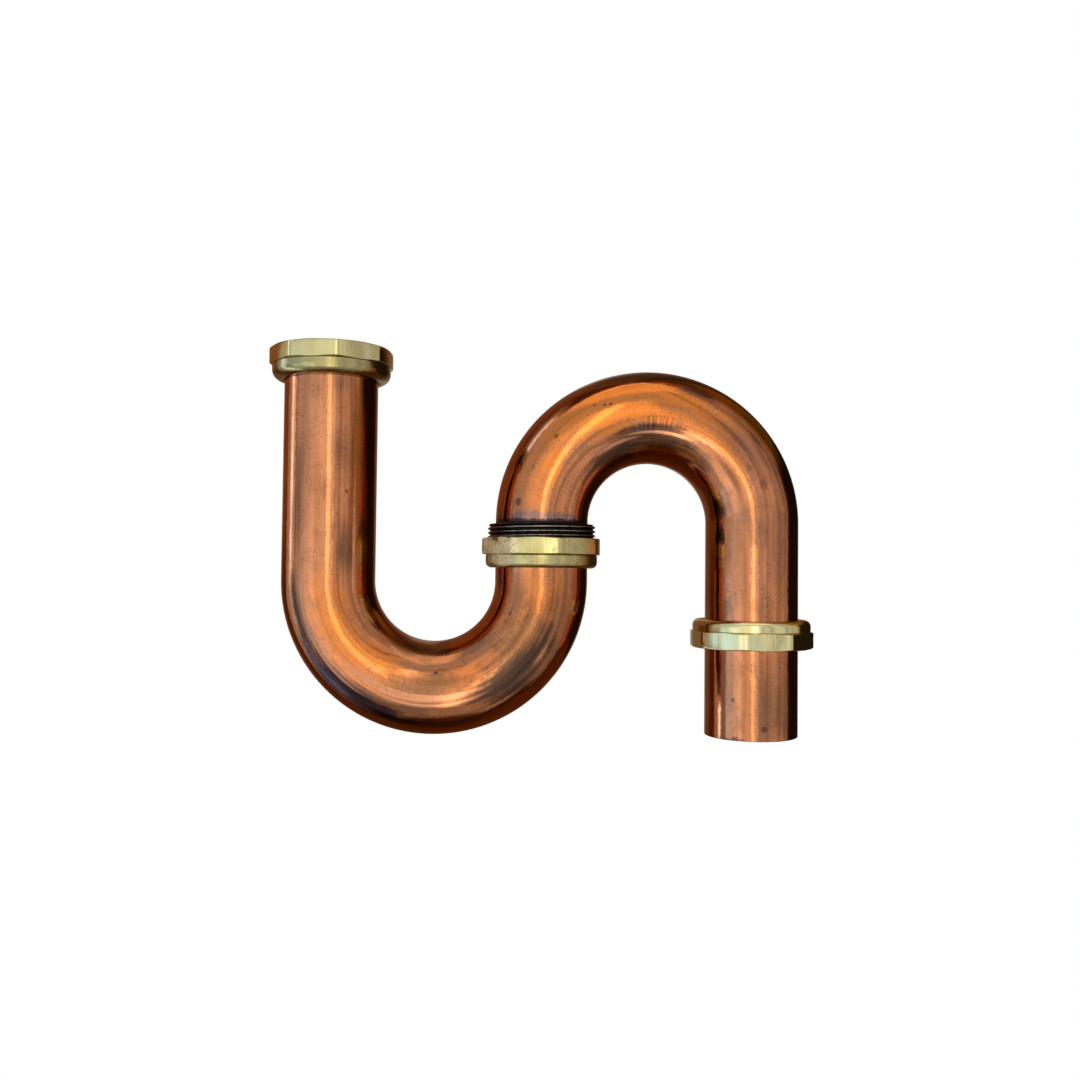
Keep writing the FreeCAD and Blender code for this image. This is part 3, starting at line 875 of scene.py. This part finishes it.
@dataclass
class Nut:
    """A nut with eight flats over a round, domed collar, threaded inside.

    Heights run from the foot of the collar to the open mouth. A nut that is upside down is turned
    half a turn about X.

    Attributes:
        node: CAD node and body that the nut stands for.
        finish: its brass.
        slot: name of a material slot; not used.
        turn_deg: turn of the flats.
        shoulder: thickness of the shoulder under the pocket.
        collar_r: radius of the collar.
        collar_round: rounding of its foot.
        groove: how far the thread is cut outwards from the plain bore; below zero it stands inwards.
        upside_down: whether the mouth points down.
        band: height of the flats.
        bulge: how far the polishing has pillowed a flat.
        crease: width of the crease between collar and flats.
        land: width of level rim outside the circle that the flats touch.
        edge: rounding of the flats' edges.
        edge_rows: shares of that rounding, inwards and down, at its rows of points.
        least_edge: rounding that is left where the collar is as wide as the flats.
        rim_inset: where the level rim starts, in shares of the rounding.
    """

    node: str
    finish: BrassFinish
    slot: str
    turn_deg: float
    shoulder: float
    collar_r: float
    collar_round: float
    groove: float = -1.4 * MM
    upside_down: bool = False
    flat_r: float = 31.5 * MM
    corner_round: float = 5.0 * MM
    pocket_depth: float = 4.01 * MM
    thread_depth: float = 10.0 * MM
    band: float = 9.3 * MM
    bulge: float = 0.75 * MM
    crease: float = 0.45 * MM
    relief_deg: float = 8.0
    chamfer_deg: float = 20.0
    land: float = 0.15 * MM
    edge: float = 0.35 * MM
    edge_rows: tuple[tuple[float, float], ...] = ((0.0, 1.0), (0.3, 0.3), (1.0, 0.0))
    least_edge: float = 0.0175 * MM
    rim_inset: float = 1.15
    hole_r: float = 25.8 * MM
    hole_lead: float = 1.2 * MM
    pocket_r: float = 28.9 * MM
    bore_r: float = 29.957 * MM
    lead: float = 1.0 * MM
    flats: int = 8
    corner_steps: int = 9
    flat_steps: int = 12
    dome_steps: int = 12
    thread_rows: int = 22

    @property
    def pocket_top(self) -> float:
        """Height of the step between pocket and thread."""
        return self.shoulder + self.pocket_depth

    @property
    def height(self) -> float:
        """Height of the whole nut."""
        return self.pocket_top + self.thread_depth

    def outline(self) -> tuple[Array, Array]:
        """Rounded octagon: a corner arc about each corner's own centre, then the flat after it.

        A flat is pillowed by hand polishing: it bows outwards by four times the bulge, times the
        product of the shares from its two ends. The corner arcs stop where they meet that lean.

        Returns:
            Angle and radius of each column.
        """
        half = math.pi / self.flats
        corners = math.radians(self.turn_deg) + np.arange(self.flats) * 2.0 * half
        reach = (self.flat_r - self.corner_round) / math.cos(half)
        lean = math.atan(2.0 * self.bulge / ((self.flat_r - self.corner_round) * math.tan(half)))
        sweep = np.linspace(lean - half, half - lean, self.corner_steps)
        bow = corners[:, None] + sweep[None, :]
        middle = reach * np.stack([np.cos(corners), np.sin(corners)], axis=-1)[:, None, :]
        arcs = middle + self.corner_round * np.stack([np.cos(bow), np.sin(bow)], axis=-1)
        share = np.linspace(0.0, 1.0, self.flat_steps + 2)[1:-1][None, :, None]
        ends, starts = arcs[:, -1:, :], np.roll(arcs, -1, axis=0)[:, :1, :]
        across = starts - ends
        outwards = np.stack([across[..., 1], -across[..., 0]], axis=-1)
        outwards /= np.linalg.norm(outwards, axis=-1, keepdims=True)
        runs = ends + across * share + outwards * (4.0 * self.bulge) * share * (1.0 - share)
        loop = np.concatenate([arcs, runs], axis=1).reshape(-1, 2)
        return np.arctan2(loop[:, 1], loop[:, 0]), np.hypot(loop[:, 0], loop[:, 1])

    def rings(self, angle: Array, flats: Array) -> tuple[Array, Array, Array]:
        """Radius and height of every row, walked from the hole under the collar and back inside.

        The collar is a turned profile that ends in a narrow crease. Above it each column leaves the
        collar's radius on the relief's slope until it meets the octagon, then climbs the flat to the
        mouth. Inside, the thread's wave is added to the bore.

        Args:
            angle: angle of each column.
            flats: radius of the octagon at each column.

        Returns:
            Radius, height, and share of painted shade on the collar and inside, each rows by columns.
        """
        one = np.ones_like(angle)
        collar_top = self.height - self.band
        slope = math.tan(math.radians(self.relief_deg))
        meet = collar_top + np.maximum(flats - self.collar_r, 0.0) * slope
        land_r = self.flat_r + self.land
        drop = math.tan(math.radians(self.chamfer_deg))
        foot = self.collar_r - self.collar_round
        dome = arc((foot, self.collar_round), self.collar_round, -90.0, 0.0, self.dome_steps)
        shelf = [(self.collar_r, collar_top - self.crease), (self.collar_r - self.crease, collar_top)]
        collar = np.concatenate([[(self.hole_r, 0.0)], dome, shelf])
        radius = [r * one for r in collar[:, 0]]
        height = [z * one for z in collar[:, 1]]
        soft = np.clip(flats - self.collar_r, self.least_edge, self.edge)
        radius += [flats - soft, flats, flats]
        height += [meet, meet + soft, 0.5 * (meet + self.height - self.edge)]
        for inwards, down in self.edge_rows:
            r = flats - inwards * self.edge
            radius.append(r)
            height.append(self.height - np.maximum(r - land_r, 0.0) * drop - down * self.edge)
        rim = np.minimum(flats, land_r) - self.rim_inset * self.edge
        radius += [rim, (self.bore_r + self.lead) * one]
        height += [self.height * one, self.height * one]
        thread = PipeThread(rows_per_pitch=self.thread_rows)
        levels = thread.rows(self.height - self.lead, self.pocket_top)
        swell = thread.swell(levels, -angle if self.upside_down else angle)
        runout = np.clip((levels - self.pocket_top) / (0.5 * thread.pitch), 0.0, 1.0)[:, None]
        bore = self.bore_r + self.groove * swell * runout
        inside = [(self.pocket_r, self.pocket_top), (self.pocket_r, self.shoulder),
                  (self.hole_r + self.hole_lead, self.shoulder),
                  (self.hole_r, self.shoulder - self.hole_lead)]
        radius = np.concatenate([np.array(radius), bore, [r * one for r, _ in inside]])
        height = np.concatenate([np.array(height), levels[:, None] * one, [z * one for _, z in inside]])
        # painted shade: 1 on the collar and inside the nut, 0 on the flats, their edges and the rim
        dulled = np.ones_like(radius)
        dulled[len(collar):-len(bore) - len(inside)] = 0.0
        return radius, height, dulled

    def build(self, seat: Sequence[float]) -> bpy.types.Object:
        """Build the nut and put it in its place.

        Args:
            seat: middle of the shoulder's inner face.

        Returns:
            The nut.
        """
        angle, flats = self.outline()
        radius, height, dulled = self.rings(angle, flats)
        way = -1.0 if self.upside_down else 1.0
        points = turned(radius, way * angle, way * (height - self.shoulder), seat)
        made = Surface(points, layers={SHADED_PARTS: dulled}).build(f"{self.node}_octagon", NUT_CREASE)
        place_piece(made, self.node, self.node, self.finish.material())
        return made


@dataclass
class Ferrule:
    """Threaded ring brazed round the foot of the upper bend, with a hollow fillet of braze on top."""

    foot: tuple[float, float, float]
    bore_r: float = 25.45 * MM
    thread_r: float = 29.807 * MM
    length: float = 17.5 * MM
    lead: float = 1.0 * MM
    fillet: float = 0.9 * MM
    columns: int = 180
    finish: OxideFinish = OxideFinish("thread_black")

    def build(self) -> bpy.types.Object:
        """Build the ring: the thread's wave under a cone at each end, then the fillet and the bore."""
        angle = even_angles(self.columns)
        thread = PipeThread()
        levels = thread.rows(0.0, self.length)
        swell = thread.swell(levels, angle)
        wave = self.thread_r - thread.depth * (1.0 - swell)
        from_end = np.minimum(levels, self.length - levels)
        cone = self.thread_r - np.maximum(self.lead - from_end, 0.0)
        flank = np.minimum(wave, cone[:, None])
        hollow = arc((self.bore_r + self.fillet, self.length + self.fillet), self.fillet, 270.0, 180.0)
        inner = np.concatenate([hollow, [(self.bore_r, 0.5 * self.length), (self.bore_r, 0.0)]])
        bore = inner[:, :1] + 0.0 * angle
        height = np.concatenate([levels, inner[:, 1]])[:, None]
        points = turned(np.concatenate([flank, bore]), angle, height, self.foot)
        crest = np.concatenate([swell, 0.0 * bore])
        made = Surface(points, layers={CREST: crest}).build("union_ferrule_thread", THREAD_CREASE)
        place_piece(made, "union_ferrule", "outlet_bend", self.finish.material())
        return made


@dataclass
class RubberRing:
    """A turned rubber ring with softened edges.

    Attributes:
        node: CAD node that the ring stands for.
        body: CAD body that it moves with.
        foot: middle of its lower face.
        corners: (radius, height) pairs of its section, in metres.
        finish: its rubber.
        soften: how far each corner is cut back along its two sides.
    """

    node: str
    body: str
    foot: tuple[float, float, float]
    corners: tuple[tuple[float, float], ...]
    finish: RubberFinish
    soften: float = 0.25 * MM
    columns: int = 144
    corner_rows: int = 5

    def section(self) -> Array:
        """Section with each corner rounded by a quadratic curve from one of its sides to the other.

        Returns:
            Pairs of radius and height.
        """
        spots = np.array(self.corners)
        before = np.roll(spots, 1, axis=0) - spots
        after = np.roll(spots, -1, axis=0) - spots
        before /= np.linalg.norm(before, axis=1, keepdims=True)
        after /= np.linalg.norm(after, axis=1, keepdims=True)
        share = np.linspace(0.0, 1.0, self.corner_rows)[None, :, None]
        first = (spots + self.soften * before)[:, None, :]
        last = (spots + self.soften * after)[:, None, :]
        corner = spots[:, None, :]
        curve = (1 - share) ** 2 * first + 2 * share * (1 - share) * corner + share**2 * last
        return curve.reshape(-1, 2)

    def build(self) -> bpy.types.Object:
        """Build the ring and put it in its place."""
        section = self.section()
        points = turned(section[:, :1], even_angles(self.columns), section[:, 1:], self.foot)
        made = Surface(points).build(f"{self.node}_ring")
        place_piece(made, self.node, self.body, self.finish.material())
        return made


@dataclass
class Trap:
    """The whole trap: its sizes, its heights in the frame, and the order its pieces are built in."""

    tube_r: float = 25.4 * MM
    bore_r: float = 24.49 * MM
    legs_apart: float = 116.9 * MM
    inlet_leg: float = 113.5 * MM
    riser_leg: float = 11.0 * MM
    crown_leg: float = 19.15 * MM
    tail_leg: float = 116.6 * MM
    lip_r: float = 28.0 * MM
    washer_bore_r: float = 25.0 * MM
    washer_thick: float = 3.0 * MM
    seat_gap: float = 0.02 * MM
    ring_bore_r: float = 25.55 * MM
    ring_tip_r: float = 26.75 * MM
    ring_r: float = 28.5 * MM
    ring_taper: float = 4.5 * MM
    ring_thick: float = 8.0 * MM
    inlet_lip_top: float = -3.0 * MM
    riser_lip_top: float = -105.5 * MM
    crown_foot: float = -102.5 * MM
    seat_under_lip: float = 1.01 * MM
    outlet_seat: float = -137.74 * MM
    ring_foot: float = -145.84 * MM

    def build(self) -> list[bpy.types.Object]:
        """Build every piece: the tubes, the nuts, the seals and the ferrule."""
        return [*self.tubes(), *self.nuts(), *self.seals(),
                Ferrule((self.legs_apart, 0.0, self.crown_foot)).build()]

    def tubes(self) -> list[bpy.types.Object]:
        """The lower and the upper bend."""
        lip = RolledLip(self.tube_r, self.bore_r, self.lip_r)
        cut = CutEnd(self.tube_r, self.bore_r)
        lower = BentTube("inlet_bend", "inlet_bend", (0.0, 0.0, self.inlet_lip_top), -1,
                         self.inlet_leg, self.riser_leg, lip, lip,
                         CopperFinish("copper_lower", LOWER_MARKS, self.tube_r))
        upper = BentTube("outlet_bend", "outlet_bend", (self.legs_apart, 0.0, self.crown_foot), 1,
                         self.crown_leg, self.tail_leg, cut, cut,
                         CopperFinish("copper_upper", UPPER_MARKS, self.tube_r))
        return [lower.build(), upper.build()]

    def nuts(self) -> list[bpy.types.Object]:
        """The inlet nut, the union nut and the outlet nut, each with a shoulder and collar of its own."""
        used = BrassFinish("brass_inlet_nut", clean=(0.57, 0.53, 0.275), worn=(0.43, 0.39, 0.19),
                           roughness=0.07, mottle=0.15, wave=1.2, nut_shade_strength=0.60)
        cast = BrassFinish("brass_union_nut", clean=(0.56, 0.51, 0.25), worn=(0.34, 0.30, 0.145),
                           roughness=0.13, mottle=0.85, wave=0.8, nut_shade_strength=0.35,
                           skin=CastSkinAndSheen((self.legs_apart, 0.0), azimuth=-52.5))
        bright = BrassFinish("brass_outlet_nut", clean=(0.68, 0.64, 0.36), worn=(0.53, 0.49, 0.26),
                             roughness=0.04, mottle=0.08, wave=3.5, nut_shade_strength=0.10)
        inlet = Nut("inlet_nut", used, "brass", turn_deg=14.0, shoulder=3.6 * MM,
                    collar_r=32.2 * MM, collar_round=5.4 * MM)
        union = Nut("union_nut", cast, "cast_brass", turn_deg=15.0, shoulder=2.4 * MM,
                    collar_r=30.8 * MM, collar_round=3.2 * MM, groove=0.4 * MM)
        outlet = Nut("outlet_nut", bright, "brass", turn_deg=19.0, shoulder=1.7 * MM,
                     collar_r=32.2 * MM, collar_round=3.4 * MM, upside_down=True)
        return [inlet.build((0.0, 0.0, self.inlet_lip_top - self.seat_under_lip)),
                union.build((self.legs_apart, 0.0, self.riser_lip_top - self.seat_under_lip)),
                outlet.build((2.0 * self.legs_apart, 0.0, self.outlet_seat))]

    def seals(self) -> list[bpy.types.Object]:
        """The two washers and the slip ring."""
        rubber = RubberFinish("rubber_black")
        low, high = self.seat_gap, self.washer_thick - self.seat_gap
        flat = ((self.washer_bore_r, low), (self.lip_r, low), (self.lip_r, high),
                (self.washer_bore_r, high))
        taper = ((self.ring_bore_r, 0.0), (self.ring_tip_r, 0.0), (self.ring_r, self.ring_taper),
                 (self.ring_r, self.ring_thick), (self.ring_bore_r, self.ring_thick))
        inlet = RubberRing("inlet_washer", "inlet_bend", (0.0, 0.0, self.inlet_lip_top), flat, rubber)
        union = RubberRing("union_washer", "union_washer", (self.legs_apart, 0.0, self.riser_lip_top),
                           flat, rubber)
        slip = RubberRing("outlet_ring", "outlet_ring", (2.0 * self.legs_apart, 0.0, self.ring_foot),
                          taper, rubber)
        return [ring.build() for ring in (inlet, union, slip)]


# Studio


@dataclass(frozen=True)
class Patch:
    """A soft-edged part of what the metal reflects.

    Attributes:
        azimuth: range in degrees from straight in front, towards +X.
        elevation: range in degrees above the horizon.
        radiance: linear colour of its light; 1 is the white of the background.
        soft: degrees over which its edges fade.
    """

    azimuth: tuple[float, float]
    elevation: tuple[float, float]
    radiance: Colour
    soft: float

    def share(self, azimuth: Array, elevation: Array) -> Array:
        """Cover of the patch: a smooth step of the distance inwards from its nearest edge.

        Args:
            azimuth: degrees, one for each column.
            elevation: degrees, one for each row.

        Returns:
            Rows by columns, from 0 outside to 1 inside.
        """
        centre, half = sum(self.azimuth) / 2.0, (self.azimuth[1] - self.azimuth[0]) / 2.0
        aside = half - np.abs((azimuth - centre + 180.0) % 360.0 - 180.0)
        above = np.minimum(elevation - self.elevation[0], self.elevation[1] - elevation)
        inside = np.minimum(aside[None, :], above[:, None]) / self.soft + 0.5
        eased = np.clip(inside, 0.0, 1.0)
        return eased * eased * (3.0 - 2.0 * eased)


@dataclass
class Surroundings:
    """What the metal reflects: a dim warm sphere, painted with patches, and a bright panel in front.

    The panel's light goes from near, at its right end, to far, and it has a bright upright core. Its
    left part is a little weaker, and stronger where it is low. The edges are what it fades over: the
    hard one in metres, the far one and the end one as shares of the width and the height.
    """

    middle: Vector
    radius: float = 2.5
    columns: int = 540
    rows: int = 121
    top: float = 89.5
    dim: Colour = (0.120, 0.038, 0.008)
    patches: tuple[Patch, ...] = (
        Patch((156.0, 222.0), (-22.0, 90.0), (0.22, 0.12, 0.06), 14.0),
        Patch((172.0, 188.0), (-18.0, 40.0), (0.40, 0.32, 0.24), 8.0),
        Patch((-76.0, 78.0), (36.0, 88.0), (1.45, 1.28, 1.00), 12.0),
        Patch((-74.0, 74.0), (-72.0, -36.0), (0.52, 0.46, 0.38), 12.0),
        Patch((-82.0, 28.0), (-46.0, 60.0), (0.74, 0.78, 0.86), 8.0),
        Patch((18.0, 62.0), (-46.0, 60.0), (0.92, 0.85, 0.78), 5.0),
        Patch((54.0, 92.0), (-50.0, 60.0), (0.60, 0.54, 0.49), 8.0),
        Patch((27.0, 33.0), (-46.0, 60.0), (0.56, 0.53, 0.49), 3.0),
        Patch((-155.0, -112.0), (2.0, 60.0), (0.30, 0.10, 0.03), 8.0),
        Patch((-114.0, -80.0), (-60.0, 60.0), (0.62, 0.50, 0.38), 7.0),
        Patch((-101.0, -85.0), (-50.0, 55.0), (1.30, 1.40, 1.50), 3.0),
        Patch((-97.0, -92.0), (-50.0, 55.0), (2.60, 3.40, 4.40), 2.0),
        Patch((-92.0, -76.0), (-25.0, -1.0), (0.40, 0.38, 0.38), 4.0),
        Patch((-74.0, -60.0), (-25.0, -1.0), (0.95, 1.22, 1.55), 3.0),
        Patch((68.0, 72.0), (-30.0, 30.0), (0.95, 0.90, 0.92), 2.0),
        Patch((86.0, 102.0), (-20.0, 80.0), (0.60, 0.33, 0.045), 5.0),
        Patch((98.0, 140.0), (-20.0, 80.0), (0.26, 0.12, 0.015), 5.0),
        Patch((88.0, 150.0), (-24.0, 24.0), (0.020, 0.010, 0.005), 6.0),
    )
    panel_x: tuple[float, float] = (-1.60, 0.33)
    panel_z: tuple[float, float] = (-1.20, 0.75)
    panel_y: float = -0.95
    panel_grid: tuple[int, int] = (40, 180)
    panel_near: Colour = (1.62, 1.47, 1.20)
    panel_far: Colour = (0.84, 0.98, 1.18)
    panel_core: Colour = (2.90, 2.60, 2.00)
    core_x: tuple[float, float] = (0.03, 0.17)
    hard_edge: float = 0.02
    far_edge: float = 0.3
    end_edge: float = 0.12
    left_x: tuple[float, float] = (-0.6, -0.3)
    low_z: tuple[float, float] = (-0.15, 0.05)
    level: float = 0.90
    left_loss: float = 0.05
    low_gain: float = 0.45

    def build(self) -> None:
        """Build the sphere and the panel, for reflections alone."""
        self._show(self._sphere().build("surroundings"))
        self._show(self._panel().build("front_panel"))

    def _sphere(self) -> Surface:
        """Sphere about the middle: the radius times the direction of each azimuth and elevation."""
        across = np.linspace(-180.0, 180.0, self.columns, endpoint=False)
        up = np.linspace(-self.top, self.top, self.rows)
        turn, tilt = np.meshgrid(np.radians(across), np.radians(up))
        parts = (np.cos(tilt) * np.sin(turn), -np.cos(tilt) * np.cos(turn), np.sin(tilt))
        light = np.tile(np.array(self.dim), (self.rows, self.columns, 1))
        for patch in self.patches:
            light += patch.share(across, up)[..., None] * (np.array(patch.radiance) - light)
        points = np.asarray(self.middle) + self.radius * np.stack(parts, axis=-1)
        return Surface(points, (False, True), {LIGHT: light, FADE: np.ones_like(turn)})

    def _panel(self) -> Surface:
        """Upright panel behind the camera: brighter and warmer to the right, brightest in a core."""
        up = np.linspace(*self.panel_z, self.panel_grid[0])
        across = np.linspace(*self.panel_x, self.panel_grid[1])
        wide, high = np.meshgrid(across, up)
        width, height = np.ptp(self.panel_x), np.ptp(self.panel_z)
        share = ((wide - self.panel_x[0]) / width)[..., None]
        light = np.array(self.panel_far) * (1.0 - share) + np.array(self.panel_near) * share
        left = np.interp(wide, self.left_x, (1.0, 0.0))
        low = np.interp(high, self.low_z, (1.0, 0.0))
        light *= (self.level + left * (self.low_gain * low - self.left_loss))[..., None]
        inside = np.minimum(wide - self.core_x[0], self.core_x[1] - wide) / self.hard_edge
        light += np.clip(inside + 0.5, 0.0, 1.0)[..., None] * (np.array(self.panel_core) - light)
        ends = np.minimum(high - self.panel_z[0], self.panel_z[1] - high) / (self.end_edge * height)
        sides = np.minimum((wide - self.panel_x[0]) / (self.far_edge * width),
                           (self.panel_x[1] - wide) / self.hard_edge)
        fade = np.clip(np.minimum(ends, sides), 0.0, 1.0)
        points = np.stack([wide, np.full_like(wide, self.panel_y), high], axis=-1)
        return Surface(points, (False, False), {LIGHT: light, FADE: fade})

    def _show(self, made: bpy.types.Object) -> None:
        """Give a stage object its light, and keep it out of everything but reflections."""
        material, sheet = new_material(made.name)
        sheet.faded(sheet.add("ShaderNodeEmission", {}, {"Color": sheet.attribute(LIGHT, "Color")}))
        made.data.materials.append(material)
        made.visible_camera = False
        made.visible_diffuse = False
        made.visible_shadow = False
        made.visible_transmission = False


@dataclass(frozen=True)
class Lamp:
    """A square soft light: its place, the length of its sides in metres and its power in watts."""

    name: str
    place: tuple[float, float, float]
    size: float
    power: float

    def build(self, target: Vector) -> None:
        """Add the light, turned to the target and kept out of reflections."""
        lamp = bpy.data.lights.new(self.name, "AREA")
        lamp.size = self.size
        lamp.energy = self.power
        made = bpy.data.objects.new(self.name, lamp)
        made.location = self.place
        made.rotation_euler = (target - Vector(self.place)).to_track_quat("-Z", "Y").to_euler()
        made.visible_glossy = False
        bpy.context.scene.collection.objects.link(made)


@dataclass
class Studio:
    """White surroundings, a pale floor well below the hung trap, soft lights and reflections."""

    middle: Vector = field(default_factory=lambda: Vector((0.118, 0.0, -0.1)))
    ambient: float = 0.75
    floor_level: float = -0.95
    floor_radius: float = 0.72
    floor_core: float = 0.02
    floor_rings: int = 24
    floor_columns: int = 72
    floor_fade: float = 0.5
    floor_colour: Colour = (0.92, 0.92, 0.92)
    lamps: tuple[Lamp, ...] = (Lamp("key_light", (-0.55, -0.9, 0.85), 0.9, 9.0),
                               Lamp("rear_light", (0.75, 0.95, 0.65), 0.8, 5.0))

    def build(self) -> None:
        """Set the world, the floor, the lights and the reflections."""
        scene = bpy.context.scene
        scene.view_settings.view_transform = "Standard"
        self._world(scene)
        self._floor()
        for lamp in self.lamps:
            lamp.build(self.middle)
        Surroundings(self.middle).build()

    def _world(self, scene: bpy.types.Scene) -> None:
        """White to the camera and in reflections, softer as light on matt surfaces."""
        world = bpy.data.worlds.new("white_studio")
        world.use_nodes = True
        scene.world = world
        sheet = NodeSheet(world.node_tree)
        path = sheet.add("ShaderNodeLightPath")
        seen = sheet.out(path, "Is Camera Ray")
        for ray in ("Is Glossy Ray", "Is Transmission Ray"):
            seen = seen.most(sheet.out(path, ray))
        strength = self.ambient + seen * (1.0 - self.ambient)
        light = sheet.add("ShaderNodeBackground", {}, {"Color": rgba((1.0, 1.0, 1.0)),
                                                       "Strength": strength})
        sheet.add("ShaderNodeOutputWorld", {}, {"Surface": sheet.out(light)})

    def _floor(self) -> None:
        """Disc of pale floor: rings of growing radius, which fade into the white at the rim."""
        share = np.linspace(self.floor_core, 1.0, self.floor_rings)[:, None]
        angle = even_angles(self.floor_columns)
        centre = (self.middle.x, self.middle.y, self.floor_level)
        points = turned(self.floor_radius * share, angle, 0.0 * share, centre)
        fade = np.clip((1.0 - share) / self.floor_fade, 0.0, 1.0) + 0.0 * angle
        made = Surface(points, (False, True), {FADE: fade}).build("floor")
        material, sheet = new_material("floor_pale")
        sheet.faded(sheet.add("ShaderNodeBsdfDiffuse", {}, {"Color": rgba(self.floor_colour)}))
        made.data.materials.append(material)
        made.visible_glossy = False


@dataclass
class PhotoCamera:
    """The camera at the photograph's own place and angle."""

    place: tuple[float, float, float] = (0.0994, -0.5700, -0.1109)
    yaw: float = -0.0292
    pitch: float = 0.0307
    roll: float = -0.0108
    lens: float = 34.34
    sensor: float = 36.0

    def build(self) -> None:
        """Turn a level camera that looks along +Y by its roll, pitch and yaw."""
        lens = bpy.data.cameras.new("photo_camera")
        lens.lens = self.lens
        lens.sensor_width = self.sensor
        made = bpy.data.objects.new("photo_camera", lens)
        turns = (Matrix.Rotation(self.yaw, 4, "Z") @ Matrix.Rotation(self.pitch, 4, "X")
                 @ Matrix.Rotation(self.roll, 4, "Y") @ Matrix.Rotation(0.5 * math.pi, 4, "X"))
        made.matrix_world = Matrix.Translation(self.place) @ turns
        bpy.context.scene.collection.objects.link(made)
        bpy.context.scene.camera = made


def main() -> None:
    """Load the frame, build the camera, the studio and the trap, and log how many pieces there are."""
    logging.basicConfig(level=logging.INFO, format="%(name)s: %(message)s")
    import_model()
    PhotoCamera().build()
    Studio().build()
    pieces = Trap().build()
    LOG.info("%d pieces", len(pieces))


if __name__ == "__main__":
    main()
